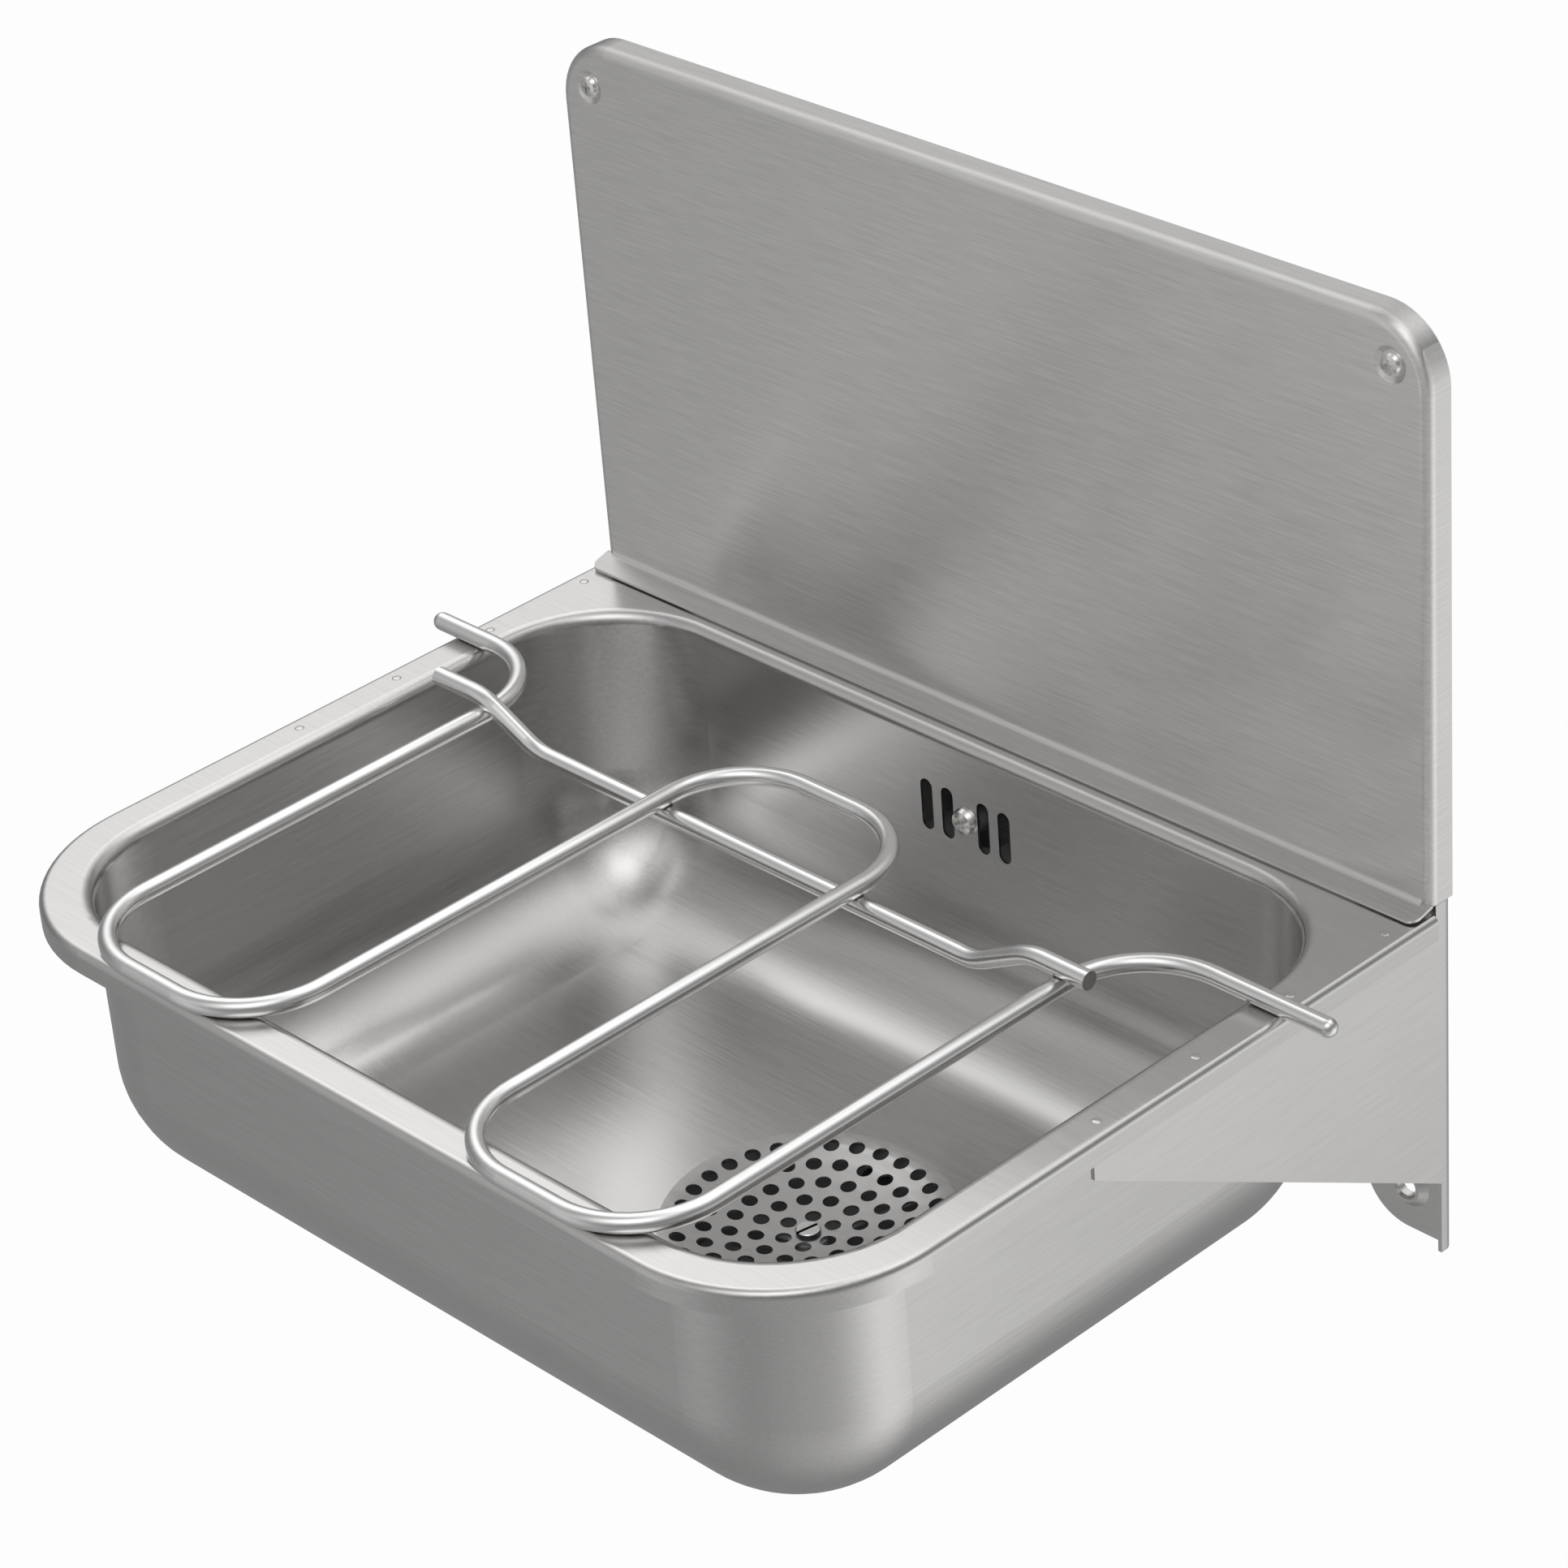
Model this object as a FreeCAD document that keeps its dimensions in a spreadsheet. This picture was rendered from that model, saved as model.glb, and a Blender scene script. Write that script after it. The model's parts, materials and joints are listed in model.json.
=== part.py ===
"""Wall-mounted cleaning sink: pressed basin, brackets, splashback, tip-up grate, waste and overflow.

Frame: X to the right, Y towards the wall, Z up, millimetres. The wall is the plane y = 0 and the
origin is the middle of the four wall holes of the brackets. The sink stands on the -Y side.
"""
import FreeCAD, Part
import math
import os
import Sketcher
from FreeCAD import Placement, Rotation, Vector

# Driving dimensions. Heights are measured from the rim's top, depths from the wall.
SIZES = {
    # basin rim
    "rim_width": 500.0,
    "rim_front": 388.5,
    "rim_rear": 12.0,
    "rim_height": 67.0,
    "rim_corner": 79.0,
    "rim_fold": 3.5,
    "skirt_height": 11.4,
    "basin_sheet": 1.2,
    # bowl, inside sizes, and the ledges of the rim around it
    "ledge_side": 22.0,
    "ledge_front": 21.3,
    "ledge_back": 20.5,
    "bowl_depth": 143.5,
    "bowl_corner": 62.0,
    "bowl_base_radius": 60.5,
    "bowl_fold": 6.0,
    # perforated dish in the bowl floor
    "drain_x": 51.0,
    "drain_y": 191.5,
    "dish_radius": 60.0,
    "dish_depth": 7.2,
    "dish_blend": 40.0,
    "hole_pitch": 11.2,
    "hole_diameter": 7.2,
    # overflow slots in the back wall
    "overflow_drop": 40.0,
    "slot_width": 7.2,
    "slot_length": 25.8,
    "slot_inner_x": 10.85,
    "slot_outer_x": 23.5,
    # splashback
    "splash_inset": 2.4,
    "splash_rise": 265.0,
    "splash_depth": 13.8,
    "splash_sheet": 1.2,
    "splash_corner": 30.0,
    "splash_fold": 4.5,
    "return_gap": 3.8,
    "lip_depth": 11.2,
    "lip_gap": 0.8,
    "lip_rise": 4.9,
    "lip_bend": 3.0,
    "lip_corner": 5.0,
    "dimple_diameter": 16.0,
    "dimple_depth": 1.6,
    # splashback screws
    "splash_screw_inset_x": 18.9,
    "splash_screw_inset_z": 20.5,
    "splash_screw_diameter": 4.5,
    "splash_screw_length": 20.2,
    "splash_head_diameter": 10.0,
    "splash_head_height": 3.2,
    "splash_hole_play": 0.6,
    "shank_chamfer": 0.7,
    # brackets
    "bracket_sheet": 2.0,
    "bracket_play": 1.0,
    "bracket_reach": 218.0,
    "bracket_nose": 20.0,
    "bracket_heel": 136.0,
    "bracket_strip": 8.0,
    "bracket_bend": 5.0,
    "flange_width": 46.4,
    "flange_tail": 22.4,
    "flange_round": 23.4,
    "weld_flange": 13.5,
    "tab_rise": 20.0,
    "tab_round": 8.0,
    "wall_hole_inset": 25.0,
    "wall_hole_spacing_z": 165.0,
    "wall_hole_diameter": 10.0,
    "wall_hole_chamfer": 1.2,
    "wall_boss_base": 22.0,
    "wall_boss_top": 15.5,
    "wall_boss_height": 3.0,
    # grate
    "rod_diameter": 8.5,
    "rest_gap": 0.3,
    "weld_sink": 0.3,
    "bar_pitch": 116.1,
    "grate_shift": -4.6,
    "arm_distance": 107.5,
    "loop_back_distance": 106.4,
    "loop_front_inset": 1.9,
    "arm_bend": 44.0,
    "loop_bend": 42.0,
    "left_arm_overhang": 8.0,
    "right_arm_overhang": 22.0,
    "cross_distance": 151.3,
    "cross_left_over": 30.3,
    "cross_right_over": 16.0,
    "cross_left_ramp": 34.0,
    "cross_right_ramp": 32.0,
    "cross_right_lead": 16.0,
    "cross_left_bend": 34.0,
    "cross_right_bend": 28.0,
    # waste cup
    "gasket_thickness": 2.0,
    "waste_flange_diameter": 142.0,
    "waste_cup_diameter": 130.0,
    "waste_wall": 3.5,
    "waste_flange_thickness": 4.0,
    "waste_cup_depth": 38.0,
    "waste_floor_drop": 10.0,
    "outlet_diameter": 47.8,
    "outlet_length": 32.0,
    "boss_diameter": 18.0,
    "boss_height": 16.0,
    "boss_gap": 0.4,
    "rib_thickness": 3.0,
    "inlet_length": 20.0,
    # drain screw and its bush
    "drain_screw_diameter": 6.0,
    "drain_screw_length": 16.0,
    "drain_head_diameter": 11.0,
    "drain_head_height": 2.0,
    "drain_slot_width": 1.6,
    "bush_wall": 1.8,
    "bush_length": 10.0,
    "thread_play": 0.05,
    "hole_play": 0.3,
    # overflow housing and pipe
    "housing_width": 70.0,
    "housing_height": 38.0,
    "housing_depth": 24.0,
    "housing_wall": 2.5,
    "housing_flange": 3.5,
    "housing_flange_thickness": 3.0,
    "housing_round": 6.0,
    "overflow_screw_diameter": 5.0,
    "overflow_screw_length": 18.0,
    "overflow_head_diameter": 13.0,
    "overflow_head_height": 4.0,
    "overflow_boss_diameter": 13.0,
    "pipe_diameter": 19.0,
    "pipe_wall": 1.5,
    "pipe_bend": 34.0,
    "spigot_diameter": 22.0,
    "spigot_length": 14.0,
    "collar_thickness": 3.0,
    "seal_thickness": 2.0,
    "nut_diameter": 28.4,
    "nut_length": 16.0,
    "nut_play": 0.2,
}

# Rings of the perforated dish: angle of the first hole of each ring, in degrees
HOLES_PER_RING_STEP = 6
RING_PHASES = [4.1, 19.2, 3.7, -3.3, 4.4]

# Turn of the drain screw's slot from the Y axis, in degrees
DRAIN_SLOT_TURN = -11.0

# Lengths that only carry a cut clear of the solid that it cuts
OVERCUT = 5.0

# Places that follow from the driving dimensions
BOWL_HALF = "(rim_width / 2 - ledge_side)"
BOWL_FRONT = "(rim_front - ledge_front)"
BOWL_BACK = "(rim_rear + ledge_back)"
SPLASH_HALF = "(rim_width / 2 - splash_inset)"
WALL_HOLE_X = "(rim_width / 2 - wall_hole_inset)"

doc = FreeCAD.newDocument("cleaning_sink")
sheet = doc.addObject("Spreadsheet::Sheet", "Sizes")
for row, (alias, number) in enumerate(SIZES.items(), start=1):
    sheet.set(f"A{row}", alias)
    sheet.set(f"B{row}", str(number))
    sheet.setAlias(f"B{row}", alias)
doc.recompute()

parts = {}


def value(expression):
    """Number that an expression of sheet aliases stands for now."""
    result = sheet.evalExpression(str(expression))
    return float(getattr(result, "Value", result))


def bound(expression):
    """The same expression as other objects write it, with the sheet's name before each alias."""
    words = []
    word = ""
    for sign in str(expression) + " ":
        if sign.isalnum() or sign == "_":
            word += sign
            continue
        words.append("Sizes." + word if word in SIZES else word)
        words.append(sign)
        word = ""
    return "".join(words).strip()


def bind(item, prop, expression):
    item.setExpression(prop, bound(expression))


def new_body(name):
    body = doc.addObject("PartDesign::Body", name)
    body.Label = name
    return body


def keep(item, name):
    """Marks a finished object as the sub-part of that name."""
    item.Label = name
    parts[name] = item


def place(item, x="0", y="0", z="0"):
    for axis, expression in zip("xyz", (x, y, z)):
        bind(item, f"Placement.Base.{axis}", expression)


def new_sketch(body, role, x="0", y="0", z="0"):
    """Sketch on one of the body's own planes, shifted by x and y in the plane and by z off it."""
    sketch = body.newObject("Sketcher::SketchObject", f"{body.Name}_sketch")
    plane = [feature for feature in body.Origin.OriginFeatures if feature.Role == role][0]
    sketch.AttachmentSupport = [(plane, "")]
    sketch.MapMode = "FlatFace"
    for axis, expression in zip("xyz", (x, y, z)):
        bind(sketch, f"AttachmentOffset.Base.{axis}", expression)
    return sketch


def pin(sketch, geometry, point, axis, expression):
    """Fixes one coordinate of a sketch point at an expression."""
    number = value(expression)
    kind = "Distance" + axis
    if number < 0:
        index = sketch.addConstraint(Sketcher.Constraint(kind, geometry, point, -1, 1, -number))
        bind(sketch, f"Constraints[{index}]", f"-({expression})")
    else:
        index = sketch.addConstraint(Sketcher.Constraint(kind, -1, 1, geometry, point, number))
        bind(sketch, f"Constraints[{index}]", expression)


def polygon(sketch, points):
    """Closed outline of straight lines with every corner pinned at a pair of expressions."""
    places = [Vector(value(x), value(y), 0) for x, y in points]
    first = sketch.GeometryCount
    for start, end in zip(places, places[1:] + places[:1]):
        sketch.addGeometry(Part.LineSegment(start, end))
    for index, (x, y) in enumerate(points):
        after = first + index
        before = first + (index - 1) % len(points)
        sketch.addConstraint(Sketcher.Constraint("Coincident", before, 2, after, 1))
        pin(sketch, after, 1, "X", x)
        pin(sketch, after, 1, "Y", y)


def rectangle(sketch, left, right, low, high):
    polygon(sketch, [(left, low), (right, low), (right, high), (left, high)])


def circle(sketch, x, y, diameter):
    centre = Vector(value(x), value(y), 0)
    index = sketch.addGeometry(Part.Circle(centre, Vector(0, 0, 1), value(diameter) / 2))
    pin(sketch, index, 3, "X", x)
    pin(sketch, index, 3, "Y", y)
    constraint = sketch.addConstraint(Sketcher.Constraint("Diameter", index, value(diameter)))
    bind(sketch, f"Constraints[{constraint}]", diameter)


def upright_slot(sketch, x, low, high, width):
    """Slot with round ends, standing along the sketch's Y axis."""
    half = value(width) / 2
    middle = value(x)
    centres = [Vector(middle, value(low) + half, 0), Vector(middle, value(high) - half, 0)]
    up = Vector(0, 0, 1)
    base = sketch.addGeometry(Part.ArcOfCircle(Part.Circle(centres[0], up, half), math.pi, 2 * math.pi))
    top = sketch.addGeometry(Part.ArcOfCircle(Part.Circle(centres[1], up, half), 0, math.pi))
    side = Vector(half, 0, 0)
    right = sketch.addGeometry(Part.LineSegment(centres[0] + side, centres[1] + side))
    left = sketch.addGeometry(Part.LineSegment(centres[1] - side, centres[0] - side))
    for one, one_end, other, other_end in ((base, 2, right, 1), (right, 2, top, 1),
                                           (top, 2, left, 1), (left, 2, base, 1)):
        sketch.addConstraint(Sketcher.Constraint("Tangent", one, one_end, other, other_end))
    pin(sketch, base, 3, "X", x)
    pin(sketch, base, 3, "Y", f"{low} + {width} / 2")
    pin(sketch, top, 3, "X", x)
    pin(sketch, top, 3, "Y", f"{high} - {width} / 2")
    constraint = sketch.addConstraint(Sketcher.Constraint("Radius", base, half))
    bind(sketch, f"Constraints[{constraint}]", f"{width} / 2")


def hollow_corner(sketch, radius, fall):
    """Filling of an inside corner at the sketch's origin with a hollow round.

    One side of the corner stands up along +Y, the other runs towards -X and falls by that angle.
    """
    reach = f"{radius} * tan(45 deg - {fall} / 2)"
    ends_at = (("0", reach), ("0", "0"), (f"-({reach}) * cos({fall})", f"-({reach}) * sin({fall})"))
    top, corner, foot = [Vector(value(x), value(y), 0) for x, y in ends_at]
    size = value(radius)
    centre = Vector(-size, top.y, 0)
    heading = (foot - centre).normalize()
    ring = Part.Circle(centre, Vector(0, 0, 1), size)
    arc = sketch.addGeometry(Part.ArcOfCircle(ring, math.atan2(heading.y, heading.x), 0))
    upright = sketch.addGeometry(Part.LineSegment(top, corner))
    sloping = sketch.addGeometry(Part.LineSegment(corner, foot))
    sketch.addConstraint(Sketcher.Constraint("Coincident", arc, 2, upright, 1))
    sketch.addConstraint(Sketcher.Constraint("Coincident", upright, 2, sloping, 1))
    sketch.addConstraint(Sketcher.Constraint("Coincident", sloping, 2, arc, 1))
    for (line, point), (x, y) in zip(((upright, 1), (upright, 2), (sloping, 2)), ends_at):
        pin(sketch, line, point, "X", x)
        pin(sketch, line, point, "Y", y)
    constraint = sketch.addConstraint(Sketcher.Constraint("Radius", arc, size))
    bind(sketch, f"Constraints[{constraint}]", radius)


def extrude(body, kind, sketch, length, backwards=False):
    """Pad or Pocket of a sketch."""
    feature = body.newObject(f"PartDesign::{kind}", f"{body.Name}_{kind.lower()}")
    feature.Profile = sketch
    bind(feature, "Length", length)
    feature.Reversed = backwards
    sketch.Visibility = False
    doc.recompute()
    return feature


def revolve(body, sketch, kind="Revolution"):
    """Full turn of a sketch about its own Y axis."""
    feature = body.newObject(f"PartDesign::{kind}", f"{body.Name}_{kind.lower()}")
    feature.Profile = sketch
    feature.ReferenceAxis = (sketch, ["V_Axis"])
    feature.Angle = 360.0
    doc.recompute()
    return feature


def ease(body, kind, size, pick):
    """Fillet or Chamfer on the edges of the body's last feature that pick accepts."""
    doc.recompute()
    base = body.Tip
    names = [f"Edge{n}" for n, edge in enumerate(base.Shape.Edges, start=1) if pick(edge)]
    feature = body.newObject(f"PartDesign::{kind}", f"{body.Name}_{kind.lower()}")
    feature.Base = (base, names)
    bind(feature, "Radius" if kind == "Fillet" else "Size", size)
    doc.recompute()
    return feature


def add_cone(body, kind, x, z, off, back_radius, front_radius, height):
    """Cone with its axis along -Y, added or cut, its back face that far in front of the wall."""
    cone = body.newObject(f"PartDesign::{kind}Cone", f"{body.Name}_cone")
    plane = [item for item in body.Origin.OriginFeatures if item.Role == "XZ_Plane"][0]
    cone.AttachmentSupport = [(plane, "")]
    cone.MapMode = "FlatFace"
    bind(cone, "AttachmentOffset.Base.x", x)
    bind(cone, "AttachmentOffset.Base.y", z)
    bind(cone, "AttachmentOffset.Base.z", off)
    bind(cone, "Radius1", back_radius)
    bind(cone, "Radius2", front_radius)
    bind(cone, "Height", height)
    doc.recompute()
    return cone


def combine(body, kind, tool):
    """Joins another body to this one, or cuts it away."""
    feature = body.newObject("PartDesign::Boolean", f"{body.Name}_{kind.lower()}")
    feature.Type = kind
    feature.addObjects([tool])
    doc.recompute()
    return feature


def around(body, feature, sketch, count):
    """Repeats a feature about the normal through its sketch's origin."""
    pattern = body.newObject("PartDesign::PolarPattern", f"{body.Name}_pattern")
    pattern.Originals = [feature]
    pattern.Axis = (sketch, ["N_Axis"])
    pattern.Angle = 360.0
    pattern.Occurrences = count
    body.Tip = pattern
    doc.recompute()
    return pattern


def near(number, target):
    return abs(number - target) < 1e-4


def ends(edge):
    return [vertex.Point for vertex in edge.Vertexes]


def along(edge, axis):
    """True for a straight edge parallel to that axis, 0 for X, 1 for Y and 2 for Z."""
    points = ends(edge)
    if len(points) != 2 or edge.Curve.TypeId != "Part::GeomLine":
        return False
    step = points[1] - points[0]
    return all(near(step[other], 0) for other in range(3) if other != axis)


def at_level(edge, axis, level):
    """True where the whole edge lies at that coordinate."""
    box = edge.BoundBox
    low = (box.XMin, box.YMin, box.ZMin)[axis]
    high = (box.XMax, box.YMax, box.ZMax)[axis]
    return abs(low - level) < 1e-3 and abs(high - level) < 1e-3


# Basin
def rounded_block(name, half_width, front, back, top, height, corner, front_only=False):
    """Upright block with rounded corners in plan, hanging down from its top level."""
    body = new_body(name)
    sketch = new_sketch(body, "XY_Plane", z=top)
    rectangle(sketch, f"-({half_width})", half_width, f"-({front})", f"-({back})")
    extrude(body, "Pad", sketch, height, backwards=True)
    rear = -value(back)
    ease(body, "Fillet", corner,
         lambda edge: along(edge, 2) and not (front_only and near(ends(edge)[0].y, rear)))
    return body


def rim_form(name, inset):
    """Outside or inside form of the rim with its skirt, open towards the wall."""
    body = rounded_block(
        name, f"rim_width / 2 - {inset}", f"rim_front - {inset}",
        "rim_rear" if inset == "0" else f"rim_rear - {OVERCUT}",
        f"rim_height - {inset}",
        "skirt_height" if inset == "0" else f"skirt_height + {OVERCUT}",
        f"rim_corner - {inset}", front_only=True)
    top = value(f"rim_height - {inset}")
    rear = max(vertex.Point.y for vertex in body.Shape.Vertexes)
    ease(body, "Fillet", f"rim_fold - {inset}",
         lambda edge: at_level(edge, 2, top) and not at_level(edge, 1, rear))
    return body


def bowl_form(name, inset, top, depth):
    """Outside or inside form of the bowl, rounded at the corners and at the base."""
    body = rounded_block(
        name, f"{BOWL_HALF} + {inset}", f"{BOWL_FRONT} + {inset}", f"{BOWL_BACK} - {inset}",
        top, depth, f"bowl_corner + {inset}")
    base = value(f"{top} - ({depth})")
    ease(body, "Fillet", f"bowl_base_radius + {inset}", lambda edge: at_level(edge, 2, base))
    return body


def dish_profile(sketch, radius_inset, top_rise):
    """Half section of the shallow dish: a cap of a sphere below the floor, about the sketch's Y axis."""
    radius = value("(dish_radius^2 + dish_depth^2) / (2 * dish_depth)")
    reach = radius + value(radius_inset)
    centre = radius - value("dish_depth")
    top = value(top_rise)
    rim_x = math.sqrt(reach ** 2 - (centre - top) ** 2)
    start = math.atan2(top - centre, rim_x)
    arc = sketch.addGeometry(Part.ArcOfCircle(
        Part.Circle(Vector(0, centre, 0), Vector(0, 0, 1), reach), -math.pi / 2, start))
    lid = sketch.addGeometry(Part.LineSegment(Vector(rim_x, top, 0), Vector(0, top, 0)))
    stem = sketch.addGeometry(Part.LineSegment(Vector(0, top, 0), Vector(0, centre - reach, 0)))
    sketch.addConstraint(Sketcher.Constraint("Coincident", arc, 2, lid, 1))
    sketch.addConstraint(Sketcher.Constraint("Coincident", lid, 2, stem, 1))
    sketch.addConstraint(Sketcher.Constraint("Coincident", stem, 2, arc, 1))
    sketch.addConstraint(Sketcher.Constraint("Horizontal", lid))
    pin(sketch, arc, 3, "X", "0")
    pin(sketch, stem, 1, "X", "0")
    pin(sketch, stem, 1, "Y", top_rise)
    sphere = "(dish_radius^2 + dish_depth^2) / (2 * dish_depth)"
    pin(sketch, arc, 3, "Y", f"{sphere} - dish_depth")
    constraint = sketch.addConstraint(Sketcher.Constraint("Radius", arc, reach))
    bind(sketch, f"Constraints[{constraint}]", f"{sphere} + {radius_inset}")


def make_basin():
    basin = rim_form("basin", "0")
    combine(basin, "Cut", rim_form("rim_space", "basin_sheet"))
    pressed = bowl_form("bowl_outside", "basin_sheet", "rim_height - basin_sheet", "bowl_depth")
    combine(basin, "Fuse", pressed)
    under = value("rim_height - basin_sheet")
    limit = value("rim_height - skirt_height")
    outer = value(f"{BOWL_HALF} + basin_sheet")

    def under_fold(edge):
        box = edge.BoundBox
        inside = box.XMax < outer + 0.01 and box.XMin > -outer - 0.01
        back_line = near(box.YMax, value("-rim_rear")) and near(box.YMin, value("-rim_rear"))
        return at_level(edge, 2, under) and inside and not back_line and under > limit

    ease(basin, "Fillet", "bowl_fold - basin_sheet", under_fold)
    space = bowl_form("bowl_inside", "0", f"rim_height + {OVERCUT}", f"bowl_depth + {OVERCUT}")
    combine(basin, "Cut", space)
    inner = value(BOWL_HALF)
    rim_top = value("rim_height")

    def top_fold(edge):
        box = edge.BoundBox
        inside = box.XMax < inner + 0.01 and box.XMin > -inner - 0.01
        within = box.YMax < 0.01 - value(BOWL_BACK) and box.YMin > -0.01 - value(BOWL_FRONT)
        return at_level(edge, 2, rim_top) and inside and within

    ease(basin, "Fillet", "bowl_fold", top_fold)

    floor = "rim_height - bowl_depth"
    for kind, inset, rise in (("Revolution", "basin_sheet", "-basin_sheet / 2"), ("Groove", "0", "0")):
        sketch = new_sketch(basin, "XZ_Plane", "drain_x", floor, "drain_y")
        dish_profile(sketch, inset, rise)
        revolve(basin, sketch, kind)
    ease(basin, "Fillet", "dish_blend", lambda edge: at_level(edge, 2, value(floor))
         and near(edge.BoundBox.XLength, 2 * value("dish_radius")))

    reach = f"dish_depth + 2 * basin_sheet + {OVERCUT}"
    middle = new_sketch(basin, "XY_Plane", "drain_x", "-drain_y", floor)
    circle(middle, "0", "0", "drain_screw_diameter + 2 * hole_play")
    extrude(basin, "Pocket", middle, reach)
    for ring, phase in enumerate(RING_PHASES, start=1):
        sketch = new_sketch(basin, "XY_Plane", "drain_x", "-drain_y", floor)
        circle(sketch, f"{ring} * hole_pitch * cos({phase} deg)", f"{ring} * hole_pitch * sin({phase} deg)",
               "hole_diameter")
        hole = extrude(basin, "Pocket", sketch, reach)
        around(basin, hole, sketch, ring * HOLES_PER_RING_STEP)

    wall = new_sketch(basin, "XZ_Plane", "0", "rim_height - overflow_drop", f"{BOWL_BACK} - {OVERCUT}")
    for x in ("-slot_outer_x", "-slot_inner_x", "slot_inner_x", "slot_outer_x"):
        upright_slot(wall, x, "-slot_length / 2", "slot_length / 2", "slot_width")
    circle(wall, "0", "0", "overflow_screw_diameter + 2 * hole_play")
    extrude(basin, "Pocket", wall, f"2 * {OVERCUT}", backwards=True)
    keep(basin, "basin")


# Splashback
def make_splashback():
    splash = new_body("splashback")
    half = SPLASH_HALF
    foot = "rim_height + return_gap"
    head = "rim_height + splash_rise"
    sketch = new_sketch(splash, "XZ_Plane")
    rectangle(sketch, f"-{half}", half, foot, head)
    extrude(splash, "Pad", sketch, "splash_depth")
    ease(splash, "Fillet", "splash_corner",
         lambda edge: along(edge, 1) and near(ends(edge)[0].z, value(head)))
    front = -value("splash_depth")
    ease(splash, "Fillet", "splash_fold",
         lambda edge: at_level(edge, 1, front) and not at_level(edge, 2, value(foot)))
    base = splash.Tip
    open_faces = [f"Face{n}" for n, face in enumerate(base.Shape.Faces, start=1)
                  if near(face.BoundBox.YMin, 0) or near(face.BoundBox.ZMax, value(foot))]
    shell = splash.newObject("PartDesign::Thickness", "splashback_shell")
    shell.Base = (base, open_faces)
    bind(shell, "Value", "splash_sheet")
    shell.Reversed = True
    doc.recompute()

    low = "rim_height + lip_gap"
    line = "rim_height + lip_rise"
    edge_y = "-(splash_depth + lip_depth)"
    inside_y = "-(splash_depth - splash_sheet)"
    lip = new_sketch(splash, "YZ_Plane", z=f"-{half}")
    polygon(lip, [("-splash_depth", line), (edge_y, f"{low} + splash_sheet"), (edge_y, low),
                  (inside_y, f"{line} - splash_sheet"), (inside_y, line)])
    extrude(splash, "Pad", lip, f"2 * {half}")
    lip_front = value(edge_y)
    ease(splash, "Fillet", "lip_corner",
         lambda edge: along(edge, 2) and near(ends(edge)[0].y, lip_front))
    bend = new_sketch(splash, "YZ_Plane", "-splash_depth", line, f"-({half} - splash_fold)")
    hollow_corner(bend, "lip_bend", "atan((lip_rise - lip_gap - splash_sheet) / lip_depth)")
    extrude(splash, "Pad", bend, f"2 * ({half} - splash_fold)")

    seat = "splash_head_diameter / 2 + splash_hole_play"
    screw_z = f"{head} - splash_screw_inset_z"
    for side in ("-1", "1"):
        screw_x = f"{side} * ({half} - splash_screw_inset_x)"
        for kind, grow, lift in (("Additive", "splash_sheet", "-splash_sheet"), ("Subtractive", "0", "0")):
            add_cone(splash, kind, screw_x, screw_z, f"splash_depth - dimple_depth + {lift}",
                     f"{seat} + {grow}", f"dimple_diameter / 2 + {grow}", "dimple_depth")
        hole = new_sketch(splash, "XZ_Plane", screw_x, screw_z)
        circle(hole, "0", "0", "splash_screw_diameter + 2 * splash_hole_play")
        extrude(splash, "Pocket", hole, "splash_depth", backwards=True)
    keep(splash, "splashback")


def turned_screw(name, head_diameter, head_height, shank_diameter, shank_length, crown, neck=None,
                 flat=False):
    """Screw about its own Z axis, seat at z = 0, head upwards.

    Crown is the height of the head's rim. Neck is the diameter and the length of a plain part under
    the head, on a screw that has one. A flat head only has its rim broken, other heads are domed.
    """
    body = new_body(name)
    sketch = new_sketch(body, "XZ_Plane")
    tip = "shank_chamfer"
    outline = [("0", f"-({shank_length})"), (f"{shank_diameter} / 2 - {tip}", f"-({shank_length})"),
               (f"{shank_diameter} / 2", f"-({shank_length}) + {tip}")]
    if neck:
        neck_diameter, neck_length = neck
        outline += [(f"{shank_diameter} / 2", f"-({neck_length})"),
                    (f"({neck_diameter}) / 2", f"-({neck_length})"), (f"({neck_diameter}) / 2", "0")]
    else:
        outline += [(f"{shank_diameter} / 2", "0")]
    outline += [(f"{head_diameter} / 2", "0"), (f"{head_diameter} / 2", crown)]
    if flat:
        outline += [(f"{head_diameter} / 2 - ({head_height} - {crown})", head_height)]
    else:
        outline += [(f"{head_diameter} * 0.42", f"({crown} + {head_height}) / 2 + {head_height} * 0.12"),
                    (f"{head_diameter} * 0.26", f"{head_height} * 0.96")]
    outline += [("0", head_height)]
    polygon(sketch, outline)
    revolve(body, sketch)
    return body


def cross_recess(screw, head_diameter, head_height):
    """Cross for the driver, cut into a head from its top."""
    cross = new_sketch(screw, "XY_Plane", z=head_height)
    arm = f"{head_diameter} * 0.26"
    blade = f"{head_diameter} * 0.07"
    polygon(cross, [(f"-{arm}", f"-{blade}"), (f"-{blade}", f"-{blade}"), (f"-{blade}", f"-{arm}"),
                    (blade, f"-{arm}"), (blade, f"-{blade}"), (arm, f"-{blade}"), (arm, blade),
                    (blade, blade), (blade, arm), (f"-{blade}", arm), (f"-{blade}", blade),
                    (f"-{arm}", blade)])
    extrude(screw, "Pocket", cross, f"{head_height} * 0.7")


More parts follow.
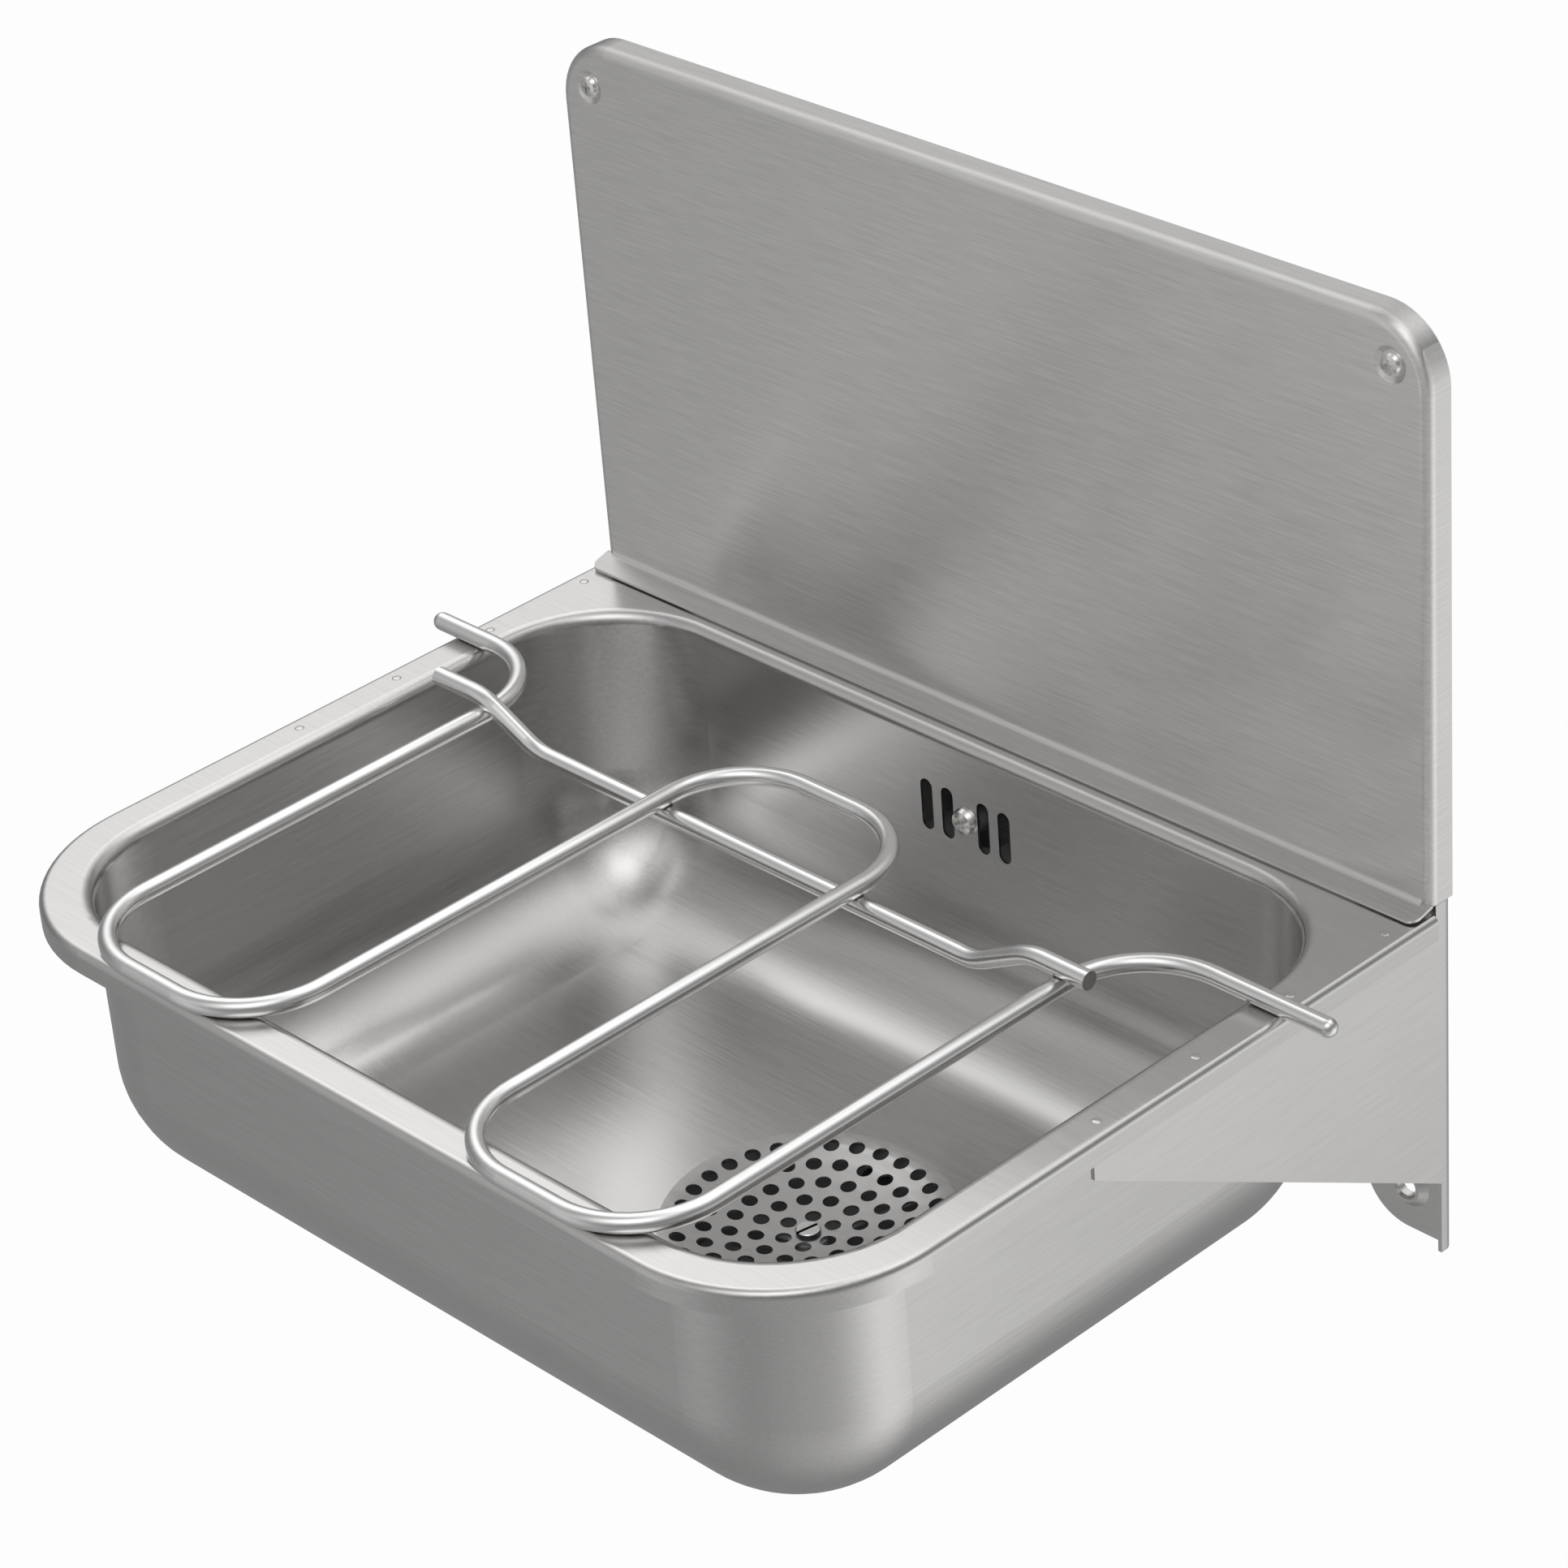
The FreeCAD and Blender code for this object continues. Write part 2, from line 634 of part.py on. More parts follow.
def make_splashback_screws():
    screw = turned_screw("splash_screw", "splash_head_diameter", "splash_head_height",
                         "splash_screw_diameter", "splash_screw_length", "splash_head_height * 0.35",
                         neck=("splash_screw_diameter + splash_hole_play", "splash_depth - dimple_depth"))
    cross_recess(screw, "splash_head_diameter", "splash_head_height")
    screw.Placement.Rotation = Rotation(Vector(1, 0, 0), 90)
    place(screw, f"{SPLASH_HALF} - splash_screw_inset_x", "-(splash_depth - dimple_depth)",
          "rim_height + splash_rise - splash_screw_inset_z")
    twin = doc.addObject("Part::Mirroring", "splash_screw_twin")
    twin.Source = screw
    twin.Normal = Vector(1, 0, 0)
    pair = doc.addObject("Part::Compound", "splashback_screws")
    pair.Links = [screw, twin]
    doc.recompute()
    keep(pair, "splashback_screws")


# Brackets
def make_brackets():
    bracket = new_body("right_bracket")
    face = "rim_width / 2 - basin_sheet - bracket_play"
    under = "rim_height - basin_sheet"
    strip_top = "rim_height + return_gap"
    tail = "-(wall_hole_spacing_z / 2 + flange_tail)"
    strip_front = "-(rim_rear - bracket_play)"
    shoulder = f"{under} - bracket_bend - bracket_sheet"
    panel = new_sketch(bracket, "YZ_Plane", z=f"{face} - bracket_sheet")
    polygon(panel, [("0", tail), ("0", shoulder), (strip_front, shoulder), (strip_front, under),
                    ("-bracket_reach", under), ("-bracket_reach", "rim_height - bracket_nose"),
                    ("-bracket_strip", "rim_height - bracket_heel"), ("-bracket_strip", tail)])
    extrude(bracket, "Pad", panel, "bracket_sheet")
    weld = new_sketch(bracket, "XY_Plane", z=f"{under} - bracket_sheet")
    rectangle(weld, f"{face} - weld_flange", face, "-bracket_reach", strip_front)
    extrude(bracket, "Pad", weld, "bracket_sheet")
    outer_x = value(face)
    sheet_x = value(f"{face} - bracket_sheet")
    top_z = value(under)
    shelf_z = value(f"{under} - bracket_sheet")
    ease(bracket, "Fillet", "bracket_bend",
         lambda edge: along(edge, 1) and near(ends(edge)[0].x, outer_x) and near(ends(edge)[0].z, top_z))
    ease(bracket, "Fillet", "bracket_bend - bracket_sheet",
         lambda edge: along(edge, 1) and near(ends(edge)[0].x, sheet_x) and near(ends(edge)[0].z, shelf_z))

    strip = new_sketch(bracket, "YZ_Plane", z=f"{face} - bracket_sheet")
    rectangle(strip, strip_front, "0", shoulder, strip_top)
    extrude(bracket, "Pad", strip, "bracket_sheet")
    tab_edge = f"{SPLASH_HALF} - splash_sheet - bracket_play"
    tab_top = "wall_hole_spacing_z / 2 + tab_rise"
    inner = f"{face} - flange_width"
    flange = new_sketch(bracket, "XZ_Plane")
    polygon(flange, [(inner, tail), (face, tail), (face, strip_top), (tab_edge, strip_top),
                     (tab_edge, tab_top), (inner, tab_top)])
    extrude(bracket, "Pad", flange, "bracket_sheet")

    inner_x = value(inner)
    back = -value("bracket_sheet")
    ease(bracket, "Fillet", "bracket_bend",
         lambda edge: along(edge, 2) and near(ends(edge)[0].x, outer_x) and near(ends(edge)[0].y, 0))
    ease(bracket, "Fillet", "bracket_bend - bracket_sheet",
         lambda edge: along(edge, 2) and near(ends(edge)[0].x, sheet_x) and near(ends(edge)[0].y, back))
    ease(bracket, "Fillet", "flange_round",
         lambda edge: along(edge, 1) and near(ends(edge)[0].x, inner_x)
         and near(ends(edge)[0].z, value(tail)))
    ease(bracket, "Fillet", "tab_round",
         lambda edge: along(edge, 1) and near(ends(edge)[0].z, value(tab_top)))

    levels = ("-wall_hole_spacing_z / 2", "wall_hole_spacing_z / 2")
    for level in levels:
        add_cone(bracket, "Additive", WALL_HOLE_X, level, "bracket_sheet",
                 "wall_boss_base / 2", "wall_boss_top / 2", "wall_boss_height")
    holes = new_sketch(bracket, "XZ_Plane")
    for level in levels:
        circle(holes, WALL_HOLE_X, level, "wall_hole_diameter")
    extrude(bracket, "Pocket", holes, "2 * (bracket_sheet + wall_boss_height)", backwards=True)
    seat = -value("bracket_sheet + wall_boss_height")
    ease(bracket, "Chamfer", "wall_hole_chamfer",
         lambda edge: edge.Curve.TypeId == "Part::GeomCircle" and at_level(edge, 1, seat)
         and near(edge.Curve.Radius, value("wall_hole_diameter") / 2))
    keep(bracket, "right_bracket")

    mirror = doc.addObject("Part::Mirroring", "left_bracket")
    mirror.Source = bracket
    mirror.Normal = Vector(1, 0, 0)
    doc.recompute()
    keep(mirror, "left_bracket")


# Bent rods and pipes
def bent_path(corners, radii):
    """Wire of straight runs through the corner points, with a tangent arc at each inner corner."""
    edges = []
    start = corners[0]
    for before, corner, after, radius in zip(corners, corners[1:], corners[2:], radii):
        inward = (before - corner).normalize()
        onward = (after - corner).normalize()
        half_turn = inward.getAngle(onward) / 2
        setback = radius / math.tan(half_turn)
        centre = corner + (inward + onward).normalize() * (radius / math.sin(half_turn))
        middle = centre + (corner - centre).normalize() * radius
        arc_start = corner + inward * setback
        arc_end = corner + onward * setback
        edges.append(Part.LineSegment(start, arc_start).toShape())
        edges.append(Part.Arc(arc_start, middle, arc_end).toShape())
        start = arc_end
    edges.append(Part.LineSegment(start, corners[-1]).toShape())
    return Part.Wire(edges)


def round_bar(path, diameter):
    """Solid round bar swept along a wire."""
    start = path.Edges[0].Vertexes[0].Point
    heading = path.Edges[0].tangentAt(path.Edges[0].FirstParameter)
    ring = Part.Wire([Part.Circle(start, heading, diameter / 2).toShape()])
    return path.makePipeShell([ring], True, False)


def add_shape(name, shape):
    item = doc.addObject("Part::Feature", name)
    item.Shape = shape
    item.Placement = Placement()
    keep(item, name)


def grate_level():
    return value("rim_height + rest_gap + rod_diameter / 2")


def bar_places():
    pitch = value("bar_pitch")
    return [value("grate_shift") + (number - 1.5) * pitch for number in range(4)]


def make_grate_frame():
    """One rod: left arm, front loop, rear loop, front loop, right arm; ends rounded to a dome."""
    level = grate_level()
    bars = bar_places()
    arms = -value("arm_distance")
    rear = -value("loop_back_distance")
    front = -value("rim_front - loop_front_inset")
    left_tip = -value("rim_width / 2 + left_arm_overhang")
    right_tip = value("rim_width / 2 + right_arm_overhang")
    route = [(left_tip, arms), (bars[0], arms), (bars[0], front), (bars[1], front), (bars[1], rear),
             (bars[2], rear), (bars[2], front), (bars[3], front), (bars[3], arms), (right_tip, arms)]
    corners = [Vector(x, y, level) for x, y in route]
    loop = value("loop_bend")
    arm = value("arm_bend")
    rod = round_bar(bent_path(corners, [arm] + [loop] * 6 + [arm]), value("rod_diameter"))
    for tip in (corners[0], corners[-1]):
        rod = rod.fuse(Part.makeSphere(value("rod_diameter") / 2, tip))
    add_shape("grate_frame", rod.removeSplitter())


def make_grate_cross_rod():
    """Rod across the bars, over the outer two and under the inner two."""
    bars = bar_places()
    offset = value("rod_diameter - weld_sink")
    over = grate_level() + offset
    under = grate_level() - offset
    y = -value("cross_distance")
    lead = bars[3] - value("cross_right_lead")
    ramp_foot = lead - value("cross_right_ramp")
    route = [(bars[0] - value("cross_left_over"), over), (bars[0], over),
             (bars[0] + value("cross_left_ramp"), under), (ramp_foot, under),
             (lead, over), (bars[3] + value("cross_right_over"), over)]
    corners = [Vector(x, y, z) for x, z in route]
    path = bent_path(corners, [value("cross_left_bend")] * 2 + [value("cross_right_bend")] * 2)
    add_shape("grate_cross_rod", round_bar(path, value("rod_diameter")))


# Waste
GASKET_TOP = "rim_height - bowl_depth - basin_sheet"
CUP_TOP = f"{GASKET_TOP} - gasket_thickness"
BOSS_TOP = f"rim_height - bowl_depth - dish_depth - basin_sheet - boss_gap - ({CUP_TOP})"
CUP_BORE = "waste_cup_diameter / 2 - waste_wall"
PIPE_DISTANCE = (
    f"{BOWL_BACK} - basin_sheet - gasket_thickness - (housing_flange_thickness + spigot_diameter) / 2")
INLET_DROP = "waste_flange_thickness + spigot_diameter / 2 + waste_wall"
CUP_FOOT = "waste_cup_depth + waste_floor_drop"


def make_waste_gasket():
    gasket = new_body("waste_gasket")
    sketch = new_sketch(gasket, "XY_Plane")
    circle(sketch, "0", "0", "waste_flange_diameter")
    circle(sketch, "0", "0", f"2 * ({CUP_BORE})")
    extrude(gasket, "Pad", sketch, "gasket_thickness", backwards=True)
    place(gasket, "drain_x", "-drain_y", GASKET_TOP)
    keep(gasket, "waste_gasket")


def make_waste_cup():
    cup = new_body("waste_cup")
    section = new_sketch(cup, "XZ_Plane")
    wall = "waste_wall"
    bore = CUP_BORE
    spout = "outlet_diameter / 2"
    polygon(section, [(bore, "0"), ("waste_flange_diameter / 2", "0"),
                      ("waste_flange_diameter / 2", "-waste_flange_thickness"),
                      ("waste_cup_diameter / 2", "-waste_flange_thickness"),
                      ("waste_cup_diameter / 2", "-waste_cup_depth"),
                      (spout, f"-({CUP_FOOT})"), (f"{spout} - {wall}", f"-({CUP_FOOT})"),
                      (f"{spout} - {wall}", f"-({CUP_FOOT}) + {wall}"),
                      (bore, f"-waste_cup_depth + {wall}")])
    revolve(cup, section)

    boss = new_sketch(cup, "XY_Plane", z=BOSS_TOP)
    circle(boss, "0", "0", "boss_diameter")
    extrude(cup, "Pad", boss, "boss_height", backwards=True)
    rib = new_sketch(cup, "XY_Plane", z=f"{BOSS_TOP} - boss_height")
    rectangle(rib, "boss_diameter / 4", f"{bore} + {wall} / 2", "-rib_thickness / 2", "rib_thickness / 2")
    arm = extrude(cup, "Pad", rib, "boss_height * 0.7")
    around(cup, arm, rib, 3)

    inlet = new_sketch(cup, "XZ_Plane", "0", f"-({INLET_DROP})", f"{bore} + {wall} / 2")
    circle(inlet, "0", "0", "spigot_diameter")
    extrude(cup, "Pad", inlet, f"{wall} / 2 + inlet_length")
    mouth = new_sketch(cup, "XZ_Plane", "0", f"-({INLET_DROP})", "waste_cup_diameter / 2 + inlet_length")
    circle(mouth, "0", "0", "pipe_diameter - 2 * pipe_wall")
    extrude(cup, "Pocket", mouth, f"inlet_length + 2 * {wall} + {OVERCUT}")
    socket = new_sketch(cup, "XY_Plane", z=BOSS_TOP)
    circle(socket, "0", "0", "drain_screw_diameter + 2 * bush_wall")
    extrude(cup, "Pocket", socket, "bush_length")
    shaft = new_sketch(cup, "XY_Plane", z=BOSS_TOP)
    circle(shaft, "0", "0", "drain_screw_diameter + 2 * hole_play")
    extrude(cup, "Pocket", shaft, f"boss_height + {OVERCUT}")

    place(cup, "drain_x", "-drain_y", CUP_TOP)
    bind(cup, "Placement.Rotation.Angle", f"atan2(-drain_x; -(drain_y - ({PIPE_DISTANCE})))")
    keep(cup, "waste_cup")


def make_waste_tailpipe():
    """Outlet tube, welded to the foot of the waste cup."""
    tube = new_body("waste_tailpipe")
    sketch = new_sketch(tube, "XY_Plane")
    circle(sketch, "0", "0", "outlet_diameter")
    circle(sketch, "0", "0", "outlet_diameter - 2 * waste_wall")
    extrude(tube, "Pad", sketch, "outlet_length", backwards=True)
    place(tube, "drain_x", "-drain_y", f"{CUP_TOP} - ({CUP_FOOT})")
    keep(tube, "waste_tailpipe")


def make_bush(name, diameter, length):
    """Threaded bush about its own Z axis, top at z = 0."""
    bush = new_body(name)
    sketch = new_sketch(bush, "XY_Plane")
    circle(sketch, "0", "0", f"{diameter} + 2 * bush_wall")
    circle(sketch, "0", "0", f"{diameter} + 2 * thread_play")
    extrude(bush, "Pad", sketch, length, backwards=True)
    keep(bush, name)
    return bush


def make_drain_screw():
    screw = turned_screw("drain_screw", "drain_head_diameter", "drain_head_height", "drain_screw_diameter",
                         "drain_screw_length", "drain_head_height * 0.7", flat=True)
    slot = new_sketch(screw, "XY_Plane", z="drain_head_height")
    rectangle(slot, "-drain_slot_width / 2", "drain_slot_width / 2",
              "-drain_head_diameter", "drain_head_diameter")
    extrude(screw, "Pocket", slot, "drain_head_height * 0.6")
    screw.Placement.Rotation = Rotation(Vector(0, 0, 1), DRAIN_SLOT_TURN)
    sphere = "(dish_radius^2 + dish_depth^2) / (2 * dish_depth)"
    sag = f"drain_head_diameter^2 / (8 * {sphere})"
    place(screw, "drain_x", "-drain_y", f"rim_height - bowl_depth - dish_depth + {sag} + thread_play")
    keep(screw, "drain_screw")
    bush = make_bush("drain_insert", "drain_screw_diameter", "bush_length")
    place(bush, "drain_x", "-drain_y", f"{CUP_TOP} + {BOSS_TOP}")


# Overflow, from the back wall of the bowl towards the wall of the room
WALL_BACK = f"{BOWL_BACK} - basin_sheet"
HOUSING_FRONT = f"{WALL_BACK} - gasket_thickness"
HOUSING_FOOT = "rim_height - overflow_drop - housing_height / 2"


def make_overflow_gasket():
    gasket = new_body("overflow_gasket")
    sketch = new_sketch(gasket, "XZ_Plane", "0", "rim_height - overflow_drop", HOUSING_FRONT)
    rectangle(sketch, "-(housing_width / 2 + housing_flange)", "housing_width / 2 + housing_flange",
              "-(housing_height / 2 + housing_flange)", "housing_height / 2 + housing_flange")
    rectangle(sketch, "-(housing_width / 2 - housing_wall)", "housing_width / 2 - housing_wall",
              "-(housing_height / 2 - housing_wall)", "housing_height / 2 - housing_wall")
    extrude(gasket, "Pad", sketch, "gasket_thickness")
    ease(gasket, "Fillet", "housing_round", lambda edge: along(edge, 1)
         and abs(ends(edge)[0].x) > value("housing_width") / 2)
    keep(gasket, "overflow_gasket")


def make_overflow_housing():
    housing = new_body("overflow_housing")
    middle = "rim_height - overflow_drop"
    lip = new_sketch(housing, "XZ_Plane", "0", middle, HOUSING_FRONT)
    rectangle(lip, "-(housing_width / 2 + housing_flange)", "housing_width / 2 + housing_flange",
              "-(housing_height / 2 + housing_flange)", "housing_height / 2 + housing_flange")
    extrude(housing, "Pad", lip, "housing_flange_thickness", backwards=True)
    ease(housing, "Fillet", "housing_round", lambda edge: along(edge, 1))
    case = new_sketch(housing, "XZ_Plane", "0", middle, HOUSING_FRONT)
    rectangle(case, "-housing_width / 2", "housing_width / 2", "-housing_height / 2", "housing_height / 2")
    extrude(housing, "Pad", case, "housing_depth", backwards=True)
    back = -value(f"{HOUSING_FRONT} - housing_depth")
    ease(housing, "Fillet", "housing_round", lambda edge: along(edge, 1)
         and near(max(point.y for point in ends(edge)), back))
    ease(housing, "Fillet", "housing_wall", lambda edge: at_level(edge, 1, back))

    spigot = new_sketch(housing, "XY_Plane", "0", f"-({PIPE_DISTANCE})", f"{HOUSING_FOOT} + housing_wall")
    circle(spigot, "0", "0", "spigot_diameter")
    extrude(housing, "Pad", spigot, "spigot_length + housing_wall", backwards=True)
    hollow = new_sketch(housing, "XZ_Plane", "0", middle, HOUSING_FRONT)
    rectangle(hollow, "-(housing_width / 2 - housing_wall)", "housing_width / 2 - housing_wall",
              "-(housing_height / 2 - housing_wall)", "housing_height / 2 - housing_wall")
    extrude(housing, "Pocket", hollow, "housing_depth - housing_wall", backwards=False)
    bore = new_sketch(housing, "XY_Plane", "0", f"-({PIPE_DISTANCE})", f"{HOUSING_FOOT} + 2 * housing_wall")
    circle(bore, "0", "0", "pipe_diameter - 2 * pipe_wall")
    extrude(housing, "Pocket", bore, f"spigot_length + 2 * housing_wall + {OVERCUT}")
    post = new_sketch(housing, "XZ_Plane", "0", middle, HOUSING_FRONT)
    circle(post, "0", "0", "overflow_boss_diameter")
    extrude(housing, "Pad", post, "housing_depth - housing_wall / 2", backwards=True)
    socket = new_sketch(housing, "XZ_Plane", "0", middle, HOUSING_FRONT)
    circle(socket, "0", "0", "overflow_screw_diameter + 2 * bush_wall")
    extrude(housing, "Pocket", socket, "bush_length", backwards=False)
    shaft = new_sketch(housing, "XZ_Plane", "0", middle, HOUSING_FRONT)
    circle(shaft, "0", "0", "overflow_screw_diameter + 2 * hole_play")
    extrude(housing, "Pocket", shaft, "overflow_screw_length", backwards=False)
    keep(housing, "overflow_housing")


def make_overflow_screw():
    screw = turned_screw("overflow_screw", "overflow_head_diameter", "overflow_head_height",
                         "overflow_screw_diameter", "overflow_screw_length", "overflow_head_height * 0.2")
    cross_recess(screw, "overflow_head_diameter", "overflow_head_height")
    screw.Placement.Rotation = Rotation(Vector(1, 0, 0), 90)
    place(screw, "0", f"-({BOWL_BACK} + thread_play)", "rim_height - overflow_drop")
    keep(screw, "overflow_screw")
    bush = make_bush("overflow_insert", "overflow_screw_diameter", "bush_length")
    bush.Placement.Rotation = Rotation(Vector(1, 0, 0), 90)
    place(bush, "0", f"-({HOUSING_FRONT})", "rim_height - overflow_drop")


def pipe_ends():
    """Start and end of the overflow pipe, and the direction from the cup to the pipe's leg."""
    top = Vector(0, -value(PIPE_DISTANCE), value(f"{HOUSING_FOOT} - spigot_length - seal_thickness"))
    level = value(f"{CUP_TOP} - ({INLET_DROP})")
    drain = Vector(value("drain_x"), -value("drain_y"), level)
    heading = (Vector(top.x, top.y, level) - drain).normalize()
    foot = drain + heading * value("waste_cup_diameter / 2 + inlet_length + seal_thickness")
    return top, foot, heading


def make_overflow_pipe():
    top, foot, heading = pipe_ends()
    corners = [top, Vector(top.x, top.y, foot.z), foot]
    path = bent_path(corners, [value("pipe_bend")])
    pipe = round_bar(path, value("pipe_diameter"))
    collar = value("spigot_diameter / 2")
    thickness = value("collar_thickness")
    pipe = pipe.fuse(Part.makeCylinder(collar, thickness, top, Vector(0, 0, -1)))
    pipe = pipe.fuse(Part.makeCylinder(collar, thickness, foot, heading))
    pipe = pipe.cut(round_bar(path, value("pipe_diameter - 2 * pipe_wall")))
    add_shape("overflow_pipe", pipe.removeSplitter())


def make_union(name, seal_name, point, heading):
    """Seal and union nut at one end of the pipe; heading points from the seal into the pipe."""
    turn = Rotation(Vector(0, 0, 1), heading)
    seal = new_body(seal_name)
    ring = new_sketch(seal, "XY_Plane")
    circle(ring, "0", "0", "spigot_diameter")
    circle(ring, "0", "0", "pipe_diameter - 2 * pipe_wall")
    extrude(seal, "Pad", ring, "seal_thickness", backwards=True)
    seal.Placement = Placement(point, turn)
    keep(seal, seal_name)

    nut = new_body(name)
    section = new_sketch(nut, "XZ_Plane")
    bore = "spigot_diameter / 2 + nut_play"
    neck = "pipe_diameter / 2 + nut_play"
    low = "collar_thickness + 4 - nut_length"
    polygon(section, [(bore, low), ("nut_diameter / 2", low), ("nut_diameter / 2", "collar_thickness + 2"),
                      ("nut_diameter / 2 - 2", "collar_thickness + 4"), (neck, "collar_thickness + 4"),
                      (neck, "collar_thickness"), (bore, "collar_thickness")])
    revolve(nut, section)
    groove = new_sketch(nut, "XY_Plane", z=low)
    circle(groove, "nut_diameter / 2 + 0.6", "0", "2.6")
    flute = extrude(nut, "Pocket", groove, "nut_length - 4", backwards=True)
    around(nut, flute, groove, 16)
    nut.Placement = Placement(point, turn)
    keep(nut, name)


def make_unions():
    top, foot, heading = pipe_ends()
    make_union("overflow_upper_nut", "overflow_upper_seal", top, Vector(0, 0, -1))
    make_union("overflow_lower_nut", "overflow_lower_seal", foot, heading)


make_basin()
make_splashback()
make_splashback_screws()
make_brackets()
make_grate_frame()
make_grate_cross_rod()
make_waste_gasket()
make_waste_cup()
make_waste_tailpipe()
make_drain_screw()
make_overflow_gasket()
make_overflow_housing()
make_overflow_screw()
make_overflow_pipe()
make_unions()
doc.recompute()

faults = [item.Label for item in doc.Objects if "Invalid" in item.State or "Error" in item.State]
faults += [name for name, item in parts.items() if item.Shape.isNull() or not item.Shape.isValid()]
if faults:
    raise RuntimeError(f"These did not build: {faults}")

os.makedirs("parts", exist_ok=True)
for name, item in parts.items():
    item.Shape.exportStep(f"parts/{name}.step")
    print(f"{name}: {len(item.Shape.Solids)} solid(s), {item.Shape.Volume / 1000:.1f} cm3")
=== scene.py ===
"""Looks of the wall-mounted cleaning sink: satin steel sheet, drawn rods, screws, seals and plastic waste."""
import json
import math

import bmesh
import bpy
from mathutils import Matrix, Vector


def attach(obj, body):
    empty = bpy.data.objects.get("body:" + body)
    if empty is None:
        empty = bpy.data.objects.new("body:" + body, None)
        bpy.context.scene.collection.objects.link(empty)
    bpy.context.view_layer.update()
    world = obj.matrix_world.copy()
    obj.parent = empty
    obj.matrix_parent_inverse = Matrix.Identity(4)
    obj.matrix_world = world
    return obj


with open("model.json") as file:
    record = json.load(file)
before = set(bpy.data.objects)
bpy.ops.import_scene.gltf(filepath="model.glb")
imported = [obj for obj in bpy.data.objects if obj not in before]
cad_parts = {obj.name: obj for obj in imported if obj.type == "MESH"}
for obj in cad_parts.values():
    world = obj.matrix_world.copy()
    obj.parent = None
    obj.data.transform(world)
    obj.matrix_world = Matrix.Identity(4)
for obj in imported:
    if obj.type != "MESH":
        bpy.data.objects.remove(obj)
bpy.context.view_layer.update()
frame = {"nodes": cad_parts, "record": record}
nodes = frame["nodes"]

# Camera of the photograph: place, aim and reach in metres, lens and sensor in millimetres
CAMERA_PLACE = Vector((1.36018, -1.37064, 1.18167))
CAMERA_AIM = Vector((0.00339, -0.14298, 0.09593))
CAMERA_ROLL = math.radians(-4.659)
CAMERA_LENS = 116.1
CAMERA_SENSOR = 36.0
CAMERA_SHIFT = (0.001485, 0.00391)
CAMERA_REACH = 100.0

# Floor: level and half width in metres, its grey, and the share of it that glows where it is seen
FLOOR_LEVEL = -0.80
FLOOR_REACH = 12.0
FLOOR_GREY = 0.88
FLOOR_GLOW = 0.95

# Soft light: an even level all round, pools of light as turn from X and height in degrees and strength,
# how fast a pool fades off its middle, and the share of this light that the surroundings above give
EVEN_LIGHT = 0.27
POOL_SHARPNESS = 14.0
SKY_SHARE = 0.8
LIGHT_POOLS = [
    (0, -40, 0.55),
    (315, -40, 0.18),
    (15, -15, 0.60),
    (45, -15, 0.50),
    (255, -15, 0.25),
    (240, 12, 0.40),
    (51, 62, 1.20),
    (140, 33, 0.88),
    (165, 52, 1.25),
    (221, 33, 0.22),
    (278, 38, 0.60),
    (103, 62, 0.90),
    (309, 56, 1.70),
]

# Marks on the rim and the grate, in metres, each profile as radius and height, turned in steps,
# and the size, waves and twist of an uneven edge
RIM_TOP = 0.067
SPOT_STEPS = 24
SPOT_X = 0.241
SPOT_DEPTHS = (0.035, 0.094, 0.151, 0.2085)
SPOT_PROFILE = [(0, 0.00045), (0.0009, 0.00042), (0.0016, 0.00031), (0.0020, 0.00014), (0.0023, -0.0001),
                (0, -0.0002)]
CROSS_ROD_DEPTH = 0.1513
BEAD_STEPS = 28
BEAD_WOBBLE = 0.07
BEAD_PLACES = [(-0.17875, 0.07565), (-0.06265, 0.06745), (0.05345, 0.06745), (0.16955, 0.07565)]
BEAD_PROFILE = [(0, -0.0006), (0.0020, -0.0006), (0.0028, -0.0004), (0.0031, 0.0), (0.0028, 0.0004),
                (0.0020, 0.0006), (0, 0.0006)]
WOBBLE_WAVES = 3
WOBBLE_TWIST = 900

# Brushed sheet: fineness of the streaks along and across, how squarely a face looks along X before it is
# brushed along Y, and how fast the painted shade of the top faces fades on the folds
STREAKS_ALONG = 30.0
STREAKS_ACROSS = 800.0
SIDE_FACE = 0.8
PAINTED_TOP_SHADE_FADE = 4.0

# Warmth of the greys, depth of fine relief in metres, and the share of the drain screw's height up to
# which it is painted dark as shade, in its slot and round its rim
SHEET_WARMTH = 0.012
ROD_WARMTH = 0.006
TURNED_WARMTH = 0.01
RELIEF = 0.0002
WELD_RELIEF = 0.0003
PAINTED_SLOT_SHADE_EDGE = 0.98


